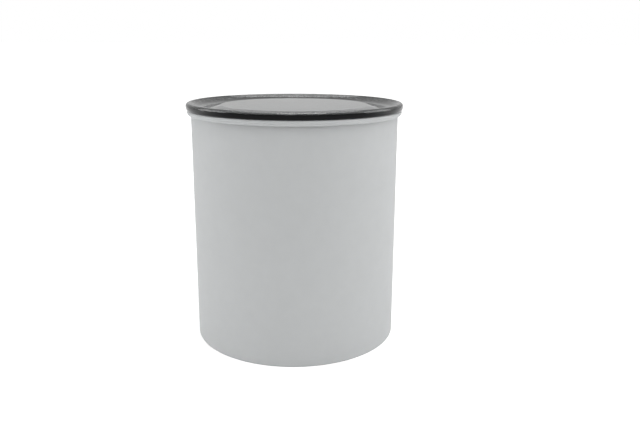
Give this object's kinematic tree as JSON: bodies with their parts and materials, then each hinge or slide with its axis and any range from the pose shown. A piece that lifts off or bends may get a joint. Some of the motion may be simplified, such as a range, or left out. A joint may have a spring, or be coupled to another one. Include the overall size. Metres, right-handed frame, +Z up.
{
  "type": "coffee canister with valve",
  "caption": "Round light grey steel coffee canister with a smoke-clear outer lid in a black sealing ring, and a sliding inner plunger lid whose folding handle opens a vent valve.",
  "frame": {"origin": "centre of the base, on the table", "axes": "+Z up along the canister's axis, -Y the front, where the folded handle lies, +X along the handle's pivot"},
  "size_m": [0.18, 0.18, 0.1995],
  "materials": {
    "coated_steel": "matte light grey powder coat outside and on the lip, fine texture",
    "base_steel": "brushed stainless sheet",
    "smoke_clear": "polished smoke-tinted clear plastic",
    "black_rubber": "smooth satin black elastomer",
    "dark_plastic": "fine-grained dark grey moulding",
    "silicone": "translucent pale silicone, satin",
    "bright_steel": "turned stainless steel",
    "filter_steel": "fine woven stainless mesh",
    "stem_plastic": "natural acetal, satin",
    "bush_plastic": "natural acetal, satin"
  },
  "bodies": {
    "canister": {"canister_wall": "coated_steel", "canister_base": "base_steel"},
    "outer_lid": {"lid_panel": "smoke_clear", "lid_ring": "black_rubber"},
    "plunger": {"plunger_deck": "dark_plastic", "plunger_plate": "dark_plastic", "wiper_gasket": "silicone", "plate_screws": "bright_steel", "vent_filter": "filter_steel", "valve_seat": "bright_steel", "valve_housing": "dark_plastic", "housing_screws": "bright_steel", "shaft_bushes": "bush_plastic", "valve_spring": "bright_steel"},
    "handle": {"handle_bail": "dark_plastic", "cam_shaft": "bright_steel", "shaft_pins": "bright_steel"},
    "valve": {"valve_stem": "stem_plastic", "valve_plug": "silicone", "stem_clip": "bright_steel"}
  },
  "joints": [
    {"name": "outer_lid_lift", "type": "slide", "parent": "canister", "child": "outer_lid", "axis": [0, 0, 1], "range_m": [0, 0.12]},
    {"name": "plunger_slide", "type": "slide", "parent": "canister", "child": "plunger", "axis": [0, 0, 1], "range_m": [-0.0942, 0]},
    {"name": "handle_fold", "type": "hinge", "parent": "plunger", "child": "handle", "pos_m": [0, 0, 0.1354], "axis": [-1, 0, 0], "range_deg": [0, 90]},
    {"name": "valve_open", "type": "slide", "parent": "plunger", "child": "valve", "axis": [0, 0, 1], "range_m": [0, 0.003], "deforming": ["valve_spring"]}
  ],
  "couplings": [
    {"joint": "valve_open", "follows": "handle_fold", "m_per_rad": 0.0019}
  ]
}
